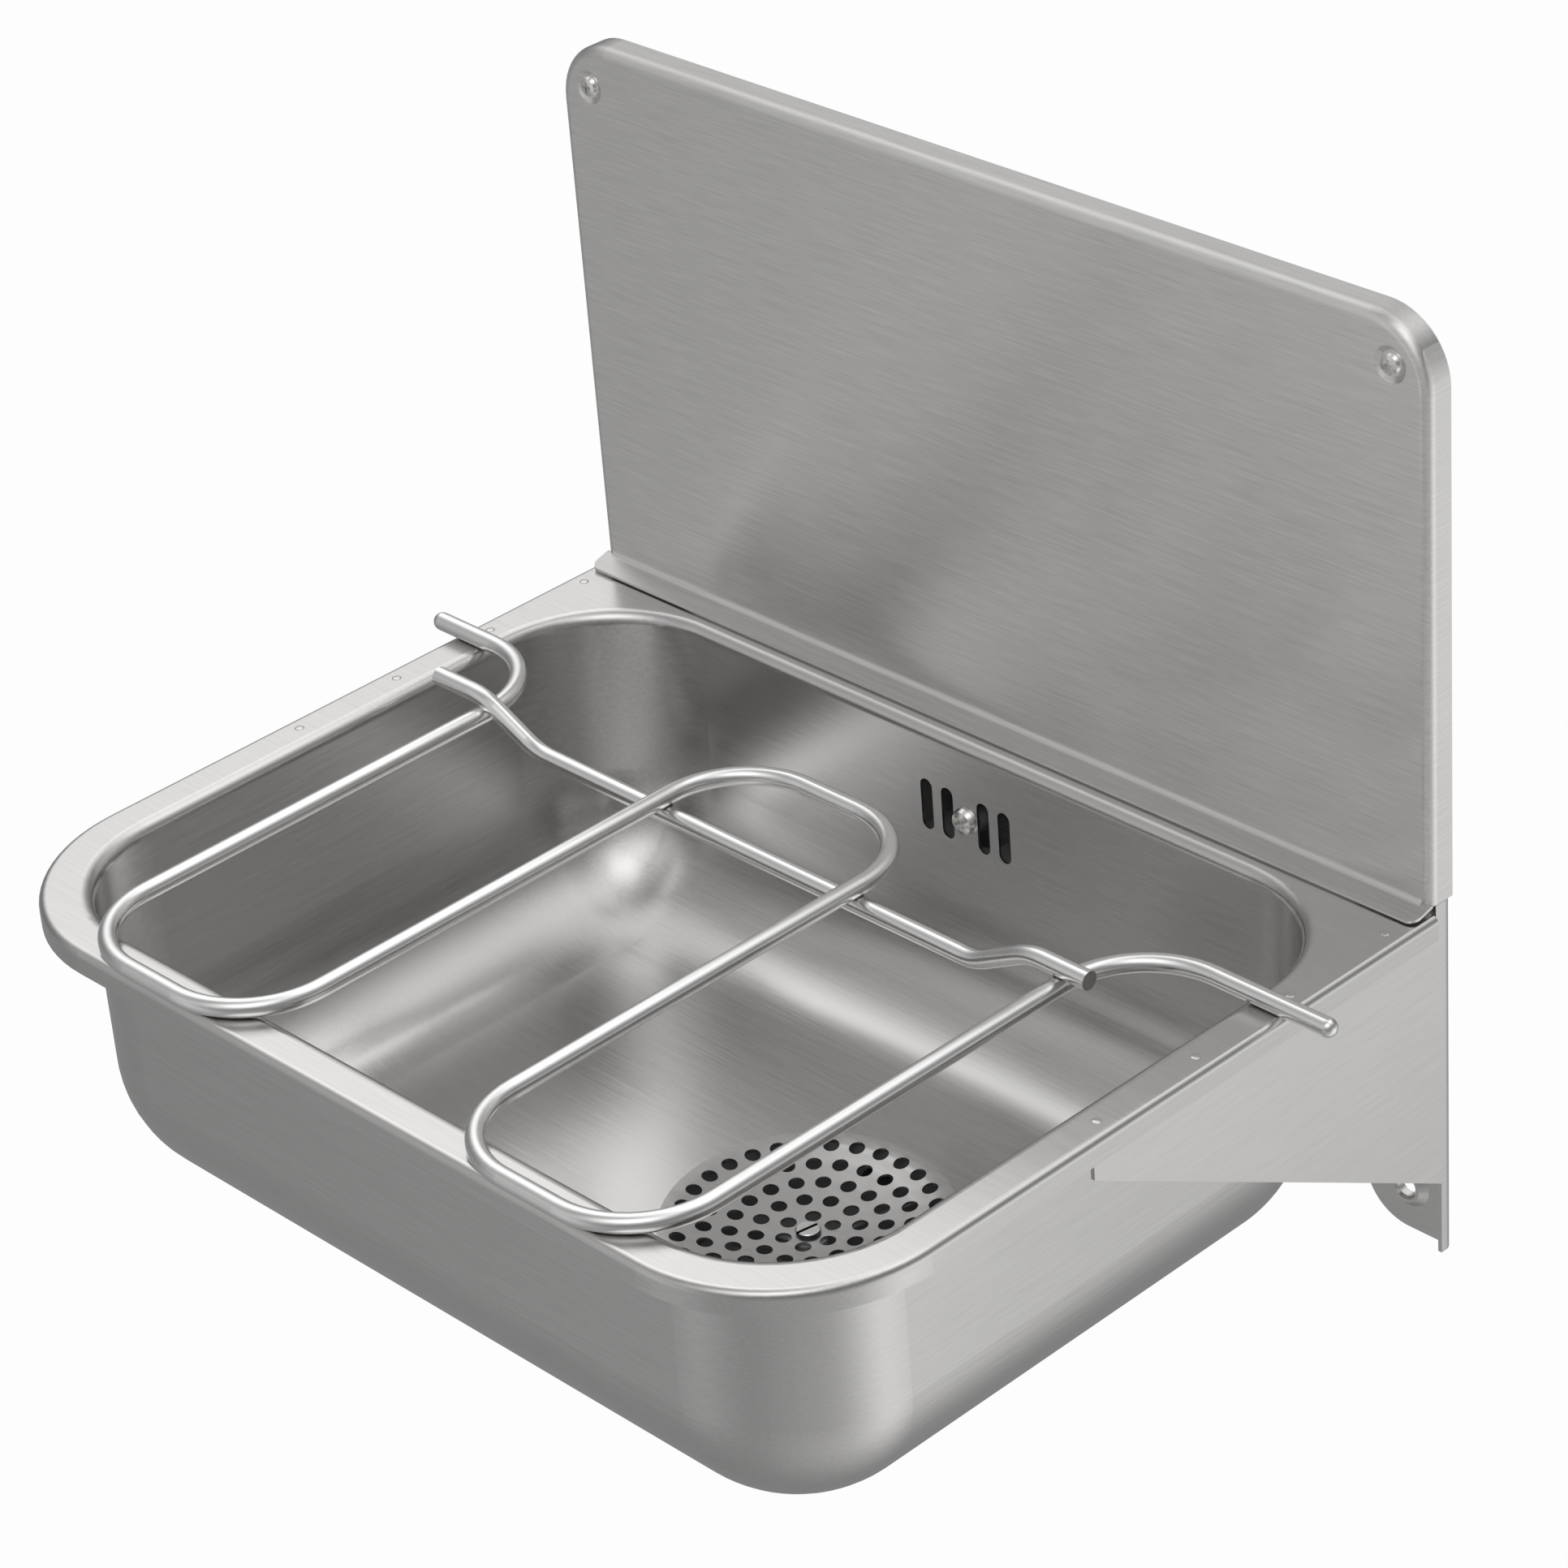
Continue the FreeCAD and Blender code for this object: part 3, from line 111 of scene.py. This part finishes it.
class Shader:
    """Node tree of a material or the world, with short calls for its nodes."""

    def __init__(self, owner, output="ShaderNodeOutputMaterial"):
        self.owner = owner
        owner.use_nodes = True
        self.tree = owner.node_tree
        self.tree.nodes.clear()
        self.output = self.add(output)

    def add(self, kind, inputs=None, **settings):
        made = self.tree.nodes.new(kind)
        for key, setting in settings.items():
            setattr(made, key, setting)
        for key, source in (inputs or {}).items():
            self.feed(made, key, source)
        return made

    def feed(self, target, key, source):
        if isinstance(source, bpy.types.NodeSocket):
            self.tree.links.new(source, target.inputs[key])
        else:
            target.inputs[key].default_value = source

    def math(self, operation, first, second=0.0):
        return self.add("ShaderNodeMath", {0: first, 1: second}, operation=operation).outputs[0]

    def vector(self, operation, first, second):
        made = self.add("ShaderNodeVectorMath", {0: first, 1: second}, operation=operation)
        return made.outputs["Value" if operation == "DOT_PRODUCT" else "Vector"]

    def span(self, source, low, high):
        """Number from 0..1 brought to low..high."""
        return self.add("ShaderNodeMapRange", {"Value": source, "To Min": low, "To Max": high}).outputs[0]

    def noise(self, place, scale, detail=2.0, rough=0.5):
        made = self.add("ShaderNodeTexNoise", {"Vector": place, "Scale": scale, "Detail": detail,
                                               "Roughness": rough})
        return made.outputs["Fac"]

    def place(self):
        return self.add("ShaderNodeTexCoord").outputs["Object"]

    def blend_number(self, factor, first, second):
        made = self.add("ShaderNodeMix", {"Factor": factor, 2: first, 3: second}, data_type="FLOAT")
        return made.outputs[0]

    def blend_colour(self, factor, first, second):
        made = self.add("ShaderNodeMix", {"Factor": factor, 6: first, 7: second}, data_type="RGBA")
        return made.outputs[2]

    def blend_vector(self, factor, first, second):
        made = self.add("ShaderNodeMix", {"Factor": factor, 4: first, 5: second}, data_type="VECTOR")
        return made.outputs[1]

    def bump(self, height, strength, distance):
        made = self.add("ShaderNodeBump", {"Height": height, "Strength": strength, "Distance": distance})
        return made.outputs["Normal"]

    def finish(self, **inputs):
        """Surface of those inputs, named with underscores for spaces."""
        made = self.add("ShaderNodeBsdfPrincipled")
        for key, source in inputs.items():
            self.feed(made, key.replace("_", " "), source)
        return self.show(made)

    def show(self, last):
        self.tree.links.new(last.outputs[0], self.output.inputs["Surface"])
        return self.owner


def new_shader(name):
    return Shader(bpy.data.materials.new(name))


def tone(level, warm=0.0):
    """Grey of that level, a little warmer or cooler."""
    return (level * (1 + warm), level, level * (1 - warm), 1.0)


def sheet_steel(name, level, rough, streak, smear, top=1.0):
    """Satin sheet, brushed along X, and along Y on faces that look along X.

    Its top faces have that share of its level, a painted shade that fades on the folds.
    """
    shader = new_shader(name)
    place = shader.place()
    normal = shader.add("ShaderNodeNewGeometry").outputs["Normal"]
    sideways = shader.math("ABSOLUTE", shader.vector("DOT_PRODUCT", normal, (1.0, 0.0, 0.0)))
    sideways = shader.math("GREATER_THAN", sideways, SIDE_FACE)
    grain = shader.blend_vector(sideways, (1.0, 0.0, 0.0), (0.0, 1.0, 0.0))
    across = shader.vector("CROSS_PRODUCT", normal, grain)
    stretch = shader.blend_vector(sideways, (STREAKS_ALONG, STREAKS_ACROSS, STREAKS_ACROSS),
                                  (STREAKS_ACROSS, STREAKS_ALONG, STREAKS_ACROSS))
    fine = shader.noise(shader.vector("MULTIPLY", place, stretch), 1.0, 3.0, 0.65)
    cloud = shader.noise(place, 9.0, 1.0, 0.5)
    # Painted shade: faces that look upward get only the top share of the level, fading on the folds
    painted_top_shade_mask = shader.math("MAXIMUM", shader.vector("DOT_PRODUCT", normal, (0.0, 0.0, 1.0)), 0.0)
    painted_top_shade_mask = shader.math("POWER", painted_top_shade_mask, PAINTED_TOP_SHADE_FADE)
    dark, light = [shader.blend_colour(painted_top_shade_mask, tone(shade, SHEET_WARMTH), tone(shade * top, SHEET_WARMTH))
                   for shade in (level * (1 - streak), level * (1 + streak))]
    colour = shader.blend_colour(shader.span(fine, -0.4, 1.4), dark, light)
    roughness = shader.math("ADD", shader.span(fine, rough - 0.05, rough + 0.05),
                            shader.span(cloud, -0.02, 0.02))
    return shader.finish(Base_Color=colour, Metallic=1.0, Roughness=roughness, Anisotropic=smear,
                         Tangent=across, Normal=shader.bump(fine, 0.006, RELIEF))


def rod_steel(name):
    """Drawn rod, half bright, with faint drawing marks and handling scuffs."""
    shader = new_shader(name)
    place = shader.place()
    scuff = shader.noise(place, 160.0, 3.0, 0.6)
    cloud = shader.noise(place, 24.0, 1.0, 0.5)
    colour = shader.blend_colour(scuff, tone(0.82, ROD_WARMTH), tone(0.90, ROD_WARMTH))
    roughness = shader.math("ADD", shader.span(scuff, 0.20, 0.26), shader.span(cloud, -0.04, 0.04))
    return shader.finish(Base_Color=colour, Metallic=1.0, Roughness=roughness,
                         Normal=shader.bump(scuff, 0.008, RELIEF))


def turned_steel(name, level, rough):
    """Bright machined metal with fine turning rings."""
    shader = new_shader(name)
    ring = shader.noise(shader.place(), 700.0)
    colour = shader.blend_colour(ring, tone(level * 0.9, TURNED_WARMTH), tone(level * 1.1, TURNED_WARMTH))
    return shader.finish(Base_Color=colour, Metallic=1.0,
                         Roughness=shader.span(ring, rough - 0.06, rough + 0.06),
                         Normal=shader.bump(ring, 0.05, RELIEF))


def screw_with_painted_slot_shade(name, edge):
    """Bright flat screw head with painted shade below that share of its height: in the slot and round the
    rim.
    """
    shader = new_shader(name)
    height = shader.add("ShaderNodeTexCoord").outputs["Generated"]
    height = shader.vector("DOT_PRODUCT", height, (0.0, 0.0, 1.0))
    ring = shader.noise(shader.place(), 500.0)
    bright = shader.blend_colour(ring, tone(0.84, TURNED_WARMTH), tone(0.96, TURNED_WARMTH))
    # Painted shade: near-black below the edge height, in the slot and round the head's rim
    colour = shader.blend_colour(shader.math("GREATER_THAN", height, edge), tone(0.05), bright)
    return shader.finish(Base_Color=colour, Metallic=1.0, Roughness=shader.span(ring, 0.24, 0.36))


def brass(name):
    """Machined brass of the threaded bushes."""
    shader = new_shader(name)
    ring = shader.noise(shader.place(), 600.0)
    colour = shader.blend_colour(ring, (0.55, 0.40, 0.16, 1), (0.74, 0.56, 0.26, 1))
    return shader.finish(Base_Color=colour, Metallic=1.0, Roughness=shader.span(ring, 0.22, 0.36))


def moulded(name, dark, light, rough):
    """Moulded plastic or rubber with a fine eroded texture and cloudy shade."""
    shader = new_shader(name)
    place = shader.place()
    pits = shader.noise(place, 1400.0, 3.0, 0.6)
    cloud = shader.noise(place, 30.0, 3.0, 0.5)
    colour = shader.blend_colour(cloud, dark, light)
    return shader.finish(Base_Color=colour, Roughness=shader.span(pits, rough - 0.08, rough + 0.08),
                         Normal=shader.bump(pits, 0.15, RELIEF))


def weld_steel(name):
    """Heat-tinted steel of a weld, dark and dull with brighter beads."""
    shader = new_shader(name)
    scale = shader.noise(shader.place(), 900.0, 3.0, 0.6)
    colour = shader.blend_colour(scale, (0.05, 0.045, 0.04, 1), (0.30, 0.28, 0.26, 1))
    return shader.finish(Base_Color=colour, Metallic=1.0, Roughness=shader.span(scale, 0.30, 0.55),
                         Normal=shader.bump(scale, 0.3, WELD_RELIEF))


LOOKS = {
    "sheet_steel": sheet_steel("satin_sheet", 0.66, 0.24, 0.06, 0.45),
    "rod_steel": rod_steel("drawn_rod"),
    "screw_steel": turned_steel("bright_screw", 0.90, 0.20),
    "bush_brass": brass("machined_brass"),
    "seal_rubber": moulded("black_rubber", (0.015, 0.015, 0.016, 1), (0.035, 0.035, 0.036, 1), 0.62),
    "waste_plastic": moulded("grey_waste_plastic", (0.22, 0.22, 0.23, 1), (0.30, 0.30, 0.31, 1), 0.48),
    "nut_plastic": moulded("dark_nut_plastic", (0.04, 0.04, 0.042, 1), (0.08, 0.08, 0.083, 1), 0.42),
}


def dress(piece, material):
    """That material alone on the piece."""
    piece.data.materials.clear()
    piece.data.materials.append(material)


for entry in frame["record"]["subparts"]:
    dress(nodes[entry["node"]], LOOKS[entry["material_slot"]])
# Splashback with painted shade on its top faces, at 0.58 of its level
dress(nodes["splashback"], sheet_steel("brushed_splashback_painted_top_shade", 0.88, 0.31, 0.11, 0.95, 0.58))
bracket_look = sheet_steel("satin_bracket", 0.74, 0.32, 0.06, 0.5)
dress(nodes["left_bracket"], bracket_look)
dress(nodes["right_bracket"], bracket_look)
# Drain screw with painted shade in its slot and round its rim
dress(nodes["drain_screw"], screw_with_painted_slot_shade("slotted_screw_painted_shade", PAINTED_SLOT_SHADE_EDGE))


def turned_piece(name, profile, steps, body, material, wobble=0.0):
    """Closed piece of a profile of radius and height turned about Z, with an uneven radius if asked."""
    shape = bmesh.new()
    rings = []
    for radius, height in profile:
        if radius == 0:
            rings.append([shape.verts.new((0, 0, height))])
            continue
        turns = [2 * math.pi * step / steps for step in range(steps)]
        reach = [radius * (1 + wobble * math.sin(WOBBLE_WAVES * turn + WOBBLE_TWIST * height))
                 for turn in turns]
        rings.append([shape.verts.new((r * math.cos(turn), r * math.sin(turn), height))
                      for r, turn in zip(reach, turns)])
    for lower, upper in zip(rings, rings[1:]):
        for step in range(steps):
            corners = [lower[step % len(lower)], lower[(step + 1) % len(lower)],
                       upper[(step + 1) % len(upper)], upper[step % len(upper)]]
            shape.faces.new(list(dict.fromkeys(corners)))
    bmesh.ops.recalc_face_normals(shape, faces=shape.faces)
    mesh = bpy.data.meshes.new(name)
    shape.to_mesh(mesh)
    shape.free()
    mesh.shade_smooth()
    piece = bpy.data.objects.new(name, mesh)
    bpy.context.scene.collection.objects.link(piece)
    dress(piece, material)
    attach(piece, body)
    return piece


# Spot welds of the brackets, low buttons on the rim
for side, side_name in ((-1, "left"), (1, "right")):
    for number, depth in enumerate(SPOT_DEPTHS, start=1):
        spot = turned_piece(f"spot_weld_{side_name}_{number}", SPOT_PROFILE, SPOT_STEPS, "sink",
                            LOOKS["sheet_steel"])
        spot.location = (side * SPOT_X, -depth, RIM_TOP)

# Weld beads where the cross rod meets the four bars of the grate
bead_look = weld_steel("weld_tint")
for number, (x, z) in enumerate(BEAD_PLACES, start=1):
    bead = turned_piece(f"weld_bead_{number}", BEAD_PROFILE, BEAD_STEPS, "grate", bead_look,
                        BEAD_WOBBLE)
    bead.location = (x, -CROSS_ROD_DEPTH, z)


def light_level(shader, heading):
    """Brightness of the surroundings in a heading."""
    level = EVEN_LIGHT
    for turn, height, strength in LIGHT_POOLS:
        turn, height = math.radians(turn), math.radians(height)
        aim = (math.cos(height) * math.cos(turn), math.cos(height) * math.sin(turn), math.sin(height))
        towards = shader.math("MAXIMUM", shader.vector("DOT_PRODUCT", heading, aim), 0.0)
        pool = shader.math("MULTIPLY", shader.math("POWER", towards, POOL_SHARPNESS), strength)
        level = shader.math("ADD", pool, level)
    return level


def floor_material():
    """Pale floor, white to the camera, and as bright as the studio around it in reflections."""
    shader = new_shader("pale_floor")
    path = shader.add("ShaderNodeLightPath").outputs
    seen = shader.math("MAXIMUM", path["Is Camera Ray"], path["Is Glossy Ray"])
    seen = shader.math("MAXIMUM", seen, path["Is Transmission Ray"])
    heading = shader.vector("NORMALIZE", shader.place(), (0, 0, 0))
    mirrored = shader.math("MINIMUM", light_level(shader, heading), 1.0)
    level = shader.blend_number(path["Is Glossy Ray"], 1.0, mirrored)
    matt = shader.add("ShaderNodeBsdfDiffuse", {"Color": tone(FLOOR_GREY)})
    glow = shader.add("ShaderNodeEmission", {"Strength": level})
    share = shader.math("MULTIPLY", seen, FLOOR_GLOW)
    return shader.show(shader.add("ShaderNodeMixShader", {0: share, 1: matt.outputs[0], 2: glow.outputs[0]}))


# Plain pale floor
floor_mesh = bpy.data.meshes.new("floor")
floor_corners = [(x * FLOOR_REACH, y * FLOOR_REACH, FLOOR_LEVEL)
                 for x, y in ((-1, -1), (1, -1), (1, 1), (-1, 1))]
floor_mesh.from_pydata(floor_corners, [], [(0, 1, 2, 3)])
floor = bpy.data.objects.new("floor", floor_mesh)
bpy.context.scene.collection.objects.link(floor)
dress(floor, floor_material())

# Soft studio light from the surroundings, plain white where the camera sees them
world = bpy.data.worlds.new("studio")
bpy.context.scene.world = world
studio = Shader(world, "ShaderNodeOutputWorld")
outward = studio.add("ShaderNodeTexCoord").outputs["Generated"]
straight = studio.add("ShaderNodeLightPath").outputs["Is Camera Ray"]
around = studio.math("MULTIPLY", light_level(studio, outward), SKY_SHARE)
level = studio.blend_number(straight, around, 1.0)
studio.show(studio.add("ShaderNodeBackground", {"Color": tone(1.0), "Strength": level}))

# Camera
camera_data = bpy.data.cameras.new("photo_camera")
camera_data.lens = CAMERA_LENS
camera_data.sensor_width = CAMERA_SENSOR
camera_data.shift_x, camera_data.shift_y = CAMERA_SHIFT
camera_data.clip_end = CAMERA_REACH
camera = bpy.data.objects.new("photo_camera", camera_data)
bpy.context.scene.collection.objects.link(camera)
turn = (CAMERA_AIM - CAMERA_PLACE).to_track_quat("-Z", "Y").to_matrix()
turn = turn @ Matrix.Rotation(CAMERA_ROLL, 3, "Z")
camera.matrix_world = Matrix.Translation(CAMERA_PLACE) @ turn.to_4x4()
bpy.context.scene.camera = camera
bpy.context.scene.view_settings.view_transform = "Standard"
